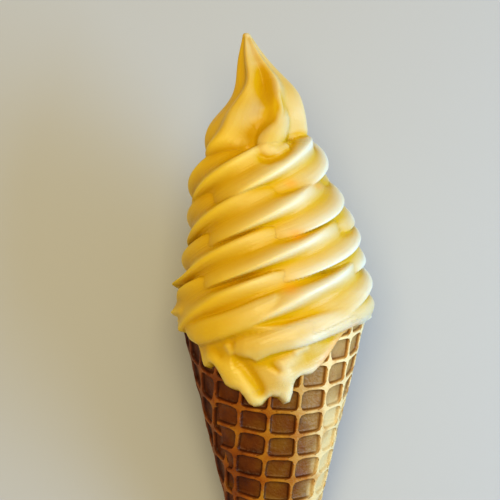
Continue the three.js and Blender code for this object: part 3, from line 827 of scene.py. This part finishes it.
def melt_marks(x, y, front):
    """Ridges and grooves that the cream has from melting and from the nozzle's last turn."""
    place = np.stack([x, y], axis=-1)
    rise = np.zeros_like(x)
    for path, width, height in MELT_MARKS:
        corners = np.array(path) * MM
        margin = MARK_REACH * width * MM
        low, high = corners.min(0) - margin, corners.max(0) + margin
        near = front & (place > low).all(-1) & (place < high).all(-1)
        if near.any():
            distance, along = path_distance(place[near], corners)
            from_end = 1 - np.abs(2 * along / (len(corners) - 1) - 1)
            share = np.minimum(1, MARK_FADE * from_end + MARK_END)
            rise[near] += height * MM * share * hump(distance, 0, width * MM)
    return rise


# Spots that melting has left thin and clear, painted with the warm glow of light shining through them: mm
# across, mm above the rim and radius in mm.
MELTED_GLOW_SPOTS = ((8.4, 32.9, 3.0), (6, 13.7, 3.2), (6.4, 51.9, 2.4), (17.3, 51.4, 2))
SPOT_SHARE = 0.6  # of the painted glow colour
SPOT_WIDTH = 1.6  # a spot is this much wider than high

# Along its edge on the right the film is thin and clear too, and gets the same painted glow.
THIN_SIDES = np.radians((22, 34, 52, 62))
THIN_SHARE = 0.7
THIN_WIDTH = 2.4 * MM


def melted_glow_spots(place):
    x, y, z = place
    share = np.zeros_like(x)
    for across, level, reach in MELTED_GLOW_SPOTS:
        away = np.hypot(x / MM - across, SPOT_WIDTH * (y / MM - level)) / reach
        share = np.maximum(share, SPOT_SHARE * np.exp(-(away**2)) * (z > 0))
    return share


def thin_edge_glow(cone, angle, height):
    cover = lap_cover(cone, angle, height)
    return THIN_SHARE * band(*THIN_SIDES, angle) * (cover > 0) * hump(cover, 0, THIN_WIDTH)


def blurred(values, rows, columns):
    """Mean over a window of a grid of values, which closes round on itself sideways."""
    total = np.zeros_like(values)
    for step in range(-columns, columns + 1):
        total += np.roll(values, step, axis=1)
    values = total / (2 * columns + 1)
    ends = np.pad(values, ((rows, rows), (0, 0)), mode="edge")
    total = sum(ends[step : step + len(values)] for step in range(2 * rows + 1))
    return total / (2 * rows + 1)


# ---- making the pieces

# Rings of the cream's mesh, from the tip down: share of them that is above each of these heights,
# which are the tip's end, TIP_CAP below it, the rim, APRON_END and FILLING_END.
RING_STOPS = (0, 0.02, 0.76, 0.975, 1)
TIP_CAP = 1.6 * MM
APRON_END = -36 * MM
FILLING_END = -110 * MM
FRONT_CROWDING = 0.22  # its columns stand closer together in front than at the back
IN_FRONT = 0.05  # least cosine of the angle from the front where marks show
# How deep in a fold a place lies, measured over these, sets its painted shade
FOLD_WINDOW = (7, 6)  # rings and columns each way that a fold is measured against
FOLD_DEPTH = 2.4 * MM
MARK_DEPTH = 4.5 * MM
RUN_HEIGHTS = (-8 * MM, 2 * MM)  # the cream has run down below these
RUN_FOLD_SHADE = 0.12  # its colour is nearer to the folds' painted shade there
TIP_COLOUR_HEIGHTS = (68 * MM, 80 * MM)  # over these the colour follows the tip's own sides
# Painted light: across these the right side is painted paler, as the window's light falls there; on the tip,
# all but its left flank
PAINTED_LIGHT_ACROSS = (-27 * MM, 19 * MM)
PAINTED_LIGHT_TIP = (-0.8, -0.2)  # sine of the angle from the front
PRESSED_ROUND = 0.4 * MM  # fillet beside the flat spot that it lies on


class SOFTSERVE_OT_cream(bpy.types.Operator):
    """Add the swirl, the cream over the rim and the filling, as one piece"""

    bl_idname = "softserve.cream"
    bl_label = "Soft Serve"

    columns = 312
    rings = 312

    def execute(self, context):
        cream = context.scene.soft_serve_cream
        cone = context.scene.soft_serve_cone
        bpy.ops.object.select_all(action="DESELECT")
        bpy.ops.mesh.primitive_uv_sphere_add(segments=self.columns, ring_count=self.rings, radius=1)
        piece = start_piece("soft_serve_swirl")
        ball = vertex_places(piece.data)
        ring = np.rint(np.arccos(np.clip(ball[:, 2], -1, 1)) / pi * self.rings).astype(int)
        column = np.rint(np.arctan2(ball[:, 1], ball[:, 0]) / (2 * pi) * self.columns).astype(int)
        column %= self.columns
        places, values = self.surface(cream, cone)
        move_vertices(piece.data, places[ring, column])
        for name, value in values.items():
            keep_value(piece.data, name, value[ring, column])
        finish_piece(piece, soft_serve_material(cream), "soft_serve")
        return {"FINISHED"}

    def surface(self, cream, cone):
        """Places of the rings from the tip down, and what the material reads there."""
        steps = np.arange(self.rings + 1) / self.rings
        heights = (cream.height, cream.height - TIP_CAP, 0, APRON_END, FILLING_END)
        height = np.interp(steps, RING_STOPS, heights)[:, None]
        turned = np.arange(self.columns) / self.columns * 2 * pi
        turned = (turned + pi) % (2 * pi) - pi
        angle = (turned - FRONT_CROWDING * np.sin(turned))[None, :]
        height, angle = np.broadcast_arrays(height, angle)
        radius, phase, turn = cream_radius(cream, cone, angle, height)
        across = radius * np.sin(angle) + lean(cream, height)
        marks = melt_marks(across, height, np.cos(angle) > IN_FRONT)
        radius = radius + marks + dragged_points(angle, height)
        radius = smooth_max(radius, hook(cream, angle, height), HOOK_MELT)
        radius = np.maximum(radius, 0)
        radius[[0, -1]] = 0
        # How deep in a fold each place lies, which the material paints as shade; the melt marks' grooves are
        # painted darker and their ridges paler
        fold = 0.5 + (blurred(radius, *FOLD_WINDOW) - radius) / FOLD_DEPTH - marks / MARK_DEPTH
        run = 1 - smooth_step(*RUN_HEIGHTS, height)
        upright = radius * np.sin(angle) + lean(cream, height), height, radius * np.cos(angle)
        places = laid_down(*upright)
        places[..., 2] = smooth_max(places[..., 2], 0, PRESSED_ROUND)
        places[[0, -1]] = places[[0, -1], :1]
        # Painted light: paler towards the right, where the window's light falls
        high = smooth_step(*TIP_COLOUR_HEIGHTS, height)
        painted_light = high * smooth_step(*PAINTED_LIGHT_TIP, np.sin(angle)) + (1 - high) * smooth_step(*PAINTED_LIGHT_ACROSS, across)
        return places, {
            "fold": np.clip(fold, 0, 1) + RUN_FOLD_SHADE * run,
            "around_u": np.cos(phase / cream.points),
            "around_v": np.sin(phase / cream.points),
            "along": turn,
            "painted_light": painted_light,
            "melt": run,
            "melted_glow": np.maximum(melted_glow_spots(upright), thin_edge_glow(cone, angle, height)),
        }


class SOFTSERVE_OT_cone(bpy.types.Operator):
    """Add the wafer: a flat ribbed sheet, rolled into a cone"""

    bl_idname = "softserve.cone"
    bl_label = "Waffle Cone"

    def execute(self, context):
        cone = context.scene.soft_serve_cone
        slope = cone_slope(cone)
        slant = cone.depth / cos(slope)
        first = (cone.seam_at - cone.grid_facing) * sin(slope)
        last = first + 2 * pi * sin(slope) + SHEET_OVERLAP
        count = int(slant / cone.rib_pitch) + 2
        bpy.ops.object.select_all(action="DESELECT")
        bpy.ops.mesh.primitive_grid_add(
            x_subdivisions=2 * count, y_subdivisions=2 * count, size=2 * count * cone.rib_pitch
        )
        bpy.ops.transform.resize(value=(cone.cell_width, 1, 1))
        piece = start_piece("waffle_cone_rolled")
        self.keep_sector(piece, cone, slant, first, last)
        self.press_cells(piece, cone)
        self.cut((0, 0, 0), (cos(first), -sin(first), 0))
        self.cut((0, 0, 0), (-cos(last), sin(last), 0))
        flat = self.unevenness(vertex_places(piece.data))
        keep_value(piece.data, "relief", np.clip(1 + flat[:, 2] / cone.cell_depth, 0, 1))
        move_vertices(piece.data, roll(cone, flat))
        self.cut((0, 0, 0), (0, -1, 0))
        self.cut((0, -cone.depth + SHEET_START * cos(slope), 0), (0, 1, 0))
        self.add_nose(piece, cone)
        x, y, z = vertex_places(piece.data).T
        angle = np.arctan2(x, z)
        # Painted glare of the window on a strip at the right, below the rim
        painted_glare = GLARE_SHARE * band(*np.radians(GLARE_SIDES), angle) * smooth_step(*GLARE_HEIGHTS, y)
        keep_value(piece.data, "painted_glare", painted_glare)
        places = laid_down(x, y, z)
        places[:, 2] = np.maximum(places[:, 2], 0)
        move_vertices(piece.data, places)
        finish_piece(piece, baked_wafer_material(cone), "waffle_cone")
        bpy.ops.object.shade_smooth_by_angle(angle=SMOOTH_UP_TO)
        return {"FINISHED"}

    def keep_sector(self, piece, cone, slant, first, last):
        """Drops the cells that the sheet is not cut from."""
        bpy.ops.object.mode_set(mode="EDIT")
        mesh = bmesh.from_edit_mesh(piece.data)
        for face in mesh.faces:
            middle = face.calc_center_median()
            reach = middle.xy.length
            angle = np.arctan2(middle.x, middle.y)
            margin = cone.cell_width * cone.rib_pitch / max(reach, cone.rib_pitch)
            inside = reach < slant + cone.rib_pitch and first - margin < angle < last + margin
            face.select_set(not inside)
        bmesh.update_edit_mesh(piece.data)
        bpy.ops.mesh.delete(type="FACE")
        bpy.ops.object.mode_set(mode="OBJECT")

    def press_cells(self, piece, cone):
        """Gives the sheet its thickness and presses a cell into each square of its outer face."""
        bpy.ops.object.mode_set(mode="EDIT")
        bpy.ops.mesh.select_all(action="SELECT")
        bpy.ops.mesh.extrude_region_move(TRANSFORM_OT_translate={"value": (0, 0, -cone.sheet)})
        bpy.ops.mesh.select_all(action="SELECT")
        bpy.ops.mesh.normals_make_consistent(inside=False)
        mesh = bmesh.from_edit_mesh(piece.data)
        for face in mesh.faces:
            middle = face.calc_center_median()
            face.select_set(face.normal.z > 0.5 and middle.xy.length > CELLS_START)
        bmesh.update_edit_mesh(piece.data)
        bpy.ops.mesh.inset(thickness=cone.rib_width / 2, use_individual=True)
        bpy.ops.mesh.inset(thickness=cone.cell_draft, depth=-cone.cell_depth, use_individual=True)
        bpy.ops.mesh.select_all(action="SELECT")
        bpy.ops.mesh.subdivide(number_cuts=1)
        bpy.ops.mesh.select_all(action="DESELECT")
        bpy.ops.mesh.edges_select_sharp(sharpness=CELL_EDGE)
        bpy.ops.mesh.bevel(offset=CELL_ROUND, segments=1, affect="EDGES")
        bpy.ops.object.mode_set(mode="OBJECT")
        rounding = piece.modifiers.new("rounding", "SUBSURF")
        rounding.levels = 1
        rounding.render_levels = 1
        bpy.ops.object.modifier_apply(modifier=rounding.name)

    def cut(self, point, inward):
        """Cuts the wafer off along a plane, and closes it there."""
        bpy.ops.object.mode_set(mode="EDIT")
        bpy.ops.mesh.select_all(action="SELECT")
        bpy.ops.mesh.bisect(plane_co=point, plane_no=inward, use_fill=True, clear_inner=True)
        bpy.ops.object.mode_set(mode="OBJECT")

    def unevenness(self, flat):
        """Batter spreads and bakes unevenly: ribs waver a little, and faces are not quite flat."""
        for place in flat:
            spot = Vector(place) / WAVER_LENGTH
            place[0] += WAVER_ACROSS * noise(spot)
            place[1] += WAVER_ALONG * noise(spot + Vector(WAVER_SHIFT))
            place[2] += WARP * noise(Vector(place) / WARP_LENGTH)
        return flat

    def add_nose(self, piece, cone):
        """Closes the point with a pinch of wafer."""
        bpy.ops.object.select_all(action="DESELECT")
        bpy.ops.mesh.primitive_uv_sphere_add(
            segments=32,
            ring_count=20,
            radius=1,
            location=(0, -cone.depth + NOSE_BOTTOM + NOSE_HALF_LENGTH, 0),
            scale=(NOSE_RADIUS, NOSE_HALF_LENGTH, NOSE_RADIUS),
        )
        start_piece("nose")
        piece.select_set(True)
        bpy.context.view_layer.objects.active = piece
        bpy.ops.object.join()


# ---- floor, light and camera

FLOOR_SIDE = 4  # m
LAMP_TARGET = (0, 0.02, 0.03)  # m
SENSOR = 36  # mm
FAR_ENOUGH = 10  # m


class SOFTSERVE_OT_stage(bpy.types.Operator):
    """Add the floor, the light and the camera"""

    bl_idname = "softserve.stage"
    bl_label = "Stage"

    def execute(self, context):
        stage = context.scene.soft_serve_stage
        self.floor(stage)
        self.lights(context.scene)
        self.camera(context.scene, stage)
        return {"FINISHED"}

    def floor(self, stage):
        bpy.ops.object.select_all(action="DESELECT")
        bpy.ops.mesh.primitive_plane_add(size=FLOOR_SIDE)
        board = start_piece("floor_board")
        board.data.materials.append(floor_material(stage))

    def lights(self, scene):
        """Cool light from a window at the right and above, and warm light of the room."""
        scene.view_settings.view_transform = "Standard"
        scene.view_settings.look = "Medium High Contrast"
        world = bpy.data.worlds.new("soft_room")
        world.use_nodes = True
        glow = world.node_tree.nodes["Background"].inputs
        glow["Color"].default_value = colour("#FFE6B8")
        glow["Strength"].default_value = 0.38
        scene.world = world
        self.lamp("window", place=(0.8, -0.12, 0.36), size=0.6, power=8.0, tint="#ACD9FF")
        self.lamp("room", place=(-0.05, 0.02, 0.94), size=0.6, power=5.1, tint="#FCE8AE")

    def lamp(self, name, place, size, power, tint):
        bpy.ops.object.light_add(type="AREA", location=place)
        lamp = bpy.context.object
        lamp.name = name
        lamp.data.size = size
        lamp.data.energy = power
        lamp.data.color = colour(tint)[:3]
        aim = Vector(LAMP_TARGET) - Vector(place)
        lamp.rotation_euler = aim.to_track_quat("-Z", "Y").to_euler()

    def camera(self, scene, stage):
        """Looks square at the cone's axis, with the swirl's tip up."""
        target = Vector(laid_down(stage.aim_across, stage.aim_up, 0.0))
        eye = Vector(laid_down(stage.aim_across, stage.aim_up, stage.distance))
        bpy.ops.object.camera_add(location=eye)
        camera = bpy.context.object
        back = (eye - target).normalized()
        up = Vector((0, cos(LYING_TILT), sin(LYING_TILT)))
        right = up.cross(back)
        camera.rotation_euler = Matrix((right, up, back)).transposed().to_euler()
        camera.data.sensor_width = SENSOR
        camera.data.lens = SENSOR * stage.distance / stage.view_height
        camera.data.clip_end = FAR_ENOUGH
        scene.camera = camera


# ---- panel and start


class SOFTSERVE_PT_panel(bpy.types.Panel):
    """Lists the settings and the pieces"""

    bl_idname = "SOFTSERVE_PT_panel"
    bl_label = "Soft Serve Cone"
    bl_space_type = "VIEW_3D"
    bl_region_type = "UI"
    bl_category = "Soft Serve"

    def draw(self, context):
        groups = (
            (context.scene.soft_serve_cone, SOFTSERVE_OT_cone),
            (context.scene.soft_serve_cream, SOFTSERVE_OT_cream),
            (context.scene.soft_serve_stage, SOFTSERVE_OT_stage),
        )
        for settings, operator in groups:
            box = self.layout.box()
            for name in settings.__annotations__:
                box.prop(settings, name)
            box.operator(operator.bl_idname)


CLASSES = (
    ConeSettings,
    CreamSettings,
    StageSettings,
    SOFTSERVE_OT_stage,
    SOFTSERVE_OT_cone,
    SOFTSERVE_OT_cream,
    SOFTSERVE_PT_panel,
)


def register():
    for item in CLASSES:
        bpy.utils.register_class(item)
    bpy.types.Scene.soft_serve_cone = bpy.props.PointerProperty(type=ConeSettings)
    bpy.types.Scene.soft_serve_cream = bpy.props.PointerProperty(type=CreamSettings)
    bpy.types.Scene.soft_serve_stage = bpy.props.PointerProperty(type=StageSettings)


def unregister():
    del bpy.types.Scene.soft_serve_cone
    del bpy.types.Scene.soft_serve_cream
    del bpy.types.Scene.soft_serve_stage
    for item in reversed(CLASSES):
        bpy.utils.unregister_class(item)


def main():
    register()
    bpy.ops.softserve.stage()
    bpy.ops.softserve.cone()
    bpy.ops.softserve.cream()


if __name__ == "__main__":
    main()
